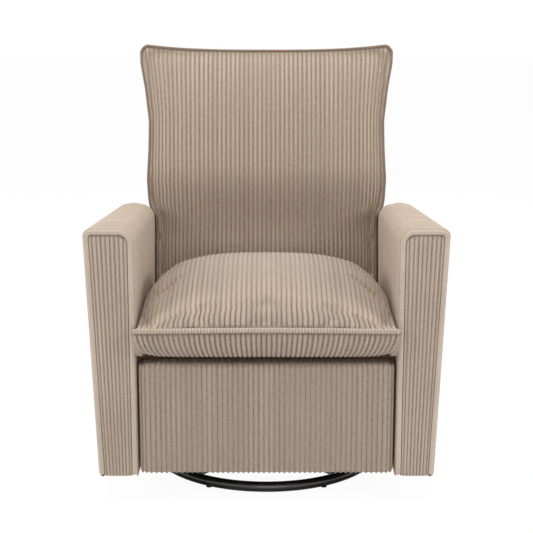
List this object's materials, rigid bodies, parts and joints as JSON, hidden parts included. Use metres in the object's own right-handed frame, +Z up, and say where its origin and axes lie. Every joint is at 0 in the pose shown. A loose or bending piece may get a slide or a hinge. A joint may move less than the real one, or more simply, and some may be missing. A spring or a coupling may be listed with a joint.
{
  "type": "swivel glider recliner chair",
  "caption": "Upholstered corduroy nursery armchair that swivels on a floor ring, glides on swing links and reclines with a fold-out footrest.",
  "frame": {"origin": "on the floor under the middle of the chair's bounding box", "axes": "+Z up, the front faces -Y, +X is the right side seen from the front"},
  "size_m": [0.8034, 0.86, 0.9782],
  "materials": {
    "corduroy": "wide-wale corduroy",
    "black_gloss": "gloss",
    "black_steel": "satin",
    "bright_steel": "zinc plated",
    "brass_cage": "satin",
    "rubber": "matt",
    "nylon": "satin",
    "wood": "raw plywood",
    "deck_cloth": "matt"
  },
  "bodies": {
    "base": {"base_ring": "black_gloss", "base_spokes": "black_gloss", "hub_plate": "black_gloss", "floor_glides": "rubber", "lower_race": "bright_steel", "swivel_balls": "bright_steel", "ball_cage": "brass_cage"},
    "turntable": {"upper_race": "bright_steel", "king_pin": "bright_steel", "king_nut": "bright_steel", "turntable_plate": "black_steel", "glider_cross_rails": "black_steel", "glider_side_rails": "black_steel", "glider_posts": "black_steel", "upper_pins": "bright_steel"},
    "rear_links": {"rear_links": "black_steel", "rear_bushes": "nylon"},
    "front_links": {"front_links": "black_steel", "front_bushes": "nylon"},
    "seat": {"carriage_plate_left": "black_steel", "carriage_plate_right": "black_steel", "lower_pins": "bright_steel", "carriage_tubes": "black_steel", "seat_rail_left": "wood", "seat_rail_right": "wood", "front_plank": "wood", "rear_rail": "wood", "seat_springs": "bright_steel", "spring_clips": "bright_steel", "seat_deck": "deck_cloth", "seat_cushion": "corduroy", "arm_board_left": "wood", "arm_board_right": "wood", "arm_posts": "wood", "arm_bottom_boards": "wood", "arm_bolts": "bright_steel", "arm_cover_left": "corduroy", "arm_cover_right": "corduroy", "rear_apron": "corduroy", "footrest_brackets": "black_steel", "recline_brackets": "black_steel", "recline_pins": "bright_steel"},
    "cranks": {"torque_tube": "black_steel", "footrest_cranks": "black_steel"},
    "struts": {"footrest_links": "black_steel", "link_pins": "bright_steel"},
    "footrest": {"footrest_board": "wood", "footrest_pad": "corduroy", "panel_brackets": "black_steel", "panel_pins": "bright_steel"},
    "back": {"back_stile_left": "wood", "back_stile_right": "wood", "back_top_rail": "wood", "back_middle_rail": "wood", "back_bottom_rail": "wood", "back_springs": "bright_steel", "hinge_plates": "black_steel", "outside_back": "corduroy", "back_pillow": "corduroy"}
  },
  "joints": [
    {"name": "swivel", "type": "hinge", "parent": "base", "child": "turntable", "pos_m": [0, -0.066, 0.036], "axis": [0, 0, 1], "continuous": true},
    {"name": "glide", "type": "hinge", "parent": "turntable", "child": "rear_links", "pos_m": [0, 0.084, 0.255], "axis": [-1, 0, 0], "range_deg": [-18, 18]},
    {"name": "front_link_swing", "type": "hinge", "parent": "turntable", "child": "front_links", "pos_m": [0, -0.186, 0.255], "axis": [-1, 0, 0], "range_deg": [-18.5, 18.5]},
    {"name": "carriage_level", "type": "hinge", "parent": "rear_links", "child": "seat", "pos_m": [0, 0.084, 0.105], "axis": [-1, 0, 0], "range_deg": [-18.5, 18.5]},
    {"name": "footrest_open", "type": "hinge", "parent": "seat", "child": "cranks", "pos_m": [0, -0.314, 0.268], "axis": [-1, 0, 0], "range_deg": [0, 127]},
    {"name": "footrest_middle", "type": "hinge", "parent": "cranks", "child": "struts", "pos_m": [0, -0.263, 0.177], "axis": [-1, 0, 0], "range_deg": [-157.5, 0]},
    {"name": "footrest_panel", "type": "hinge", "parent": "struts", "child": "footrest", "pos_m": [0, -0.319, 0.271], "axis": [-1, 0, 0], "range_deg": [0, 120.5]},
    {"name": "recline", "type": "hinge", "parent": "seat", "child": "back", "pos_m": [0, 0.23763, 0.31494], "axis": [-1, 0, 0], "range_deg": [0, 32]}
  ],
  "couplings": [
    {"joint": "front_link_swing", "follows": "glide", "ratio": 1},
    {"joint": "carriage_level", "follows": "glide", "ratio": -1},
    {"joint": "footrest_middle", "follows": "footrest_open", "ratio": -1.2362},
    {"joint": "footrest_panel", "follows": "footrest_open", "ratio": 0.94488}
  ]
}
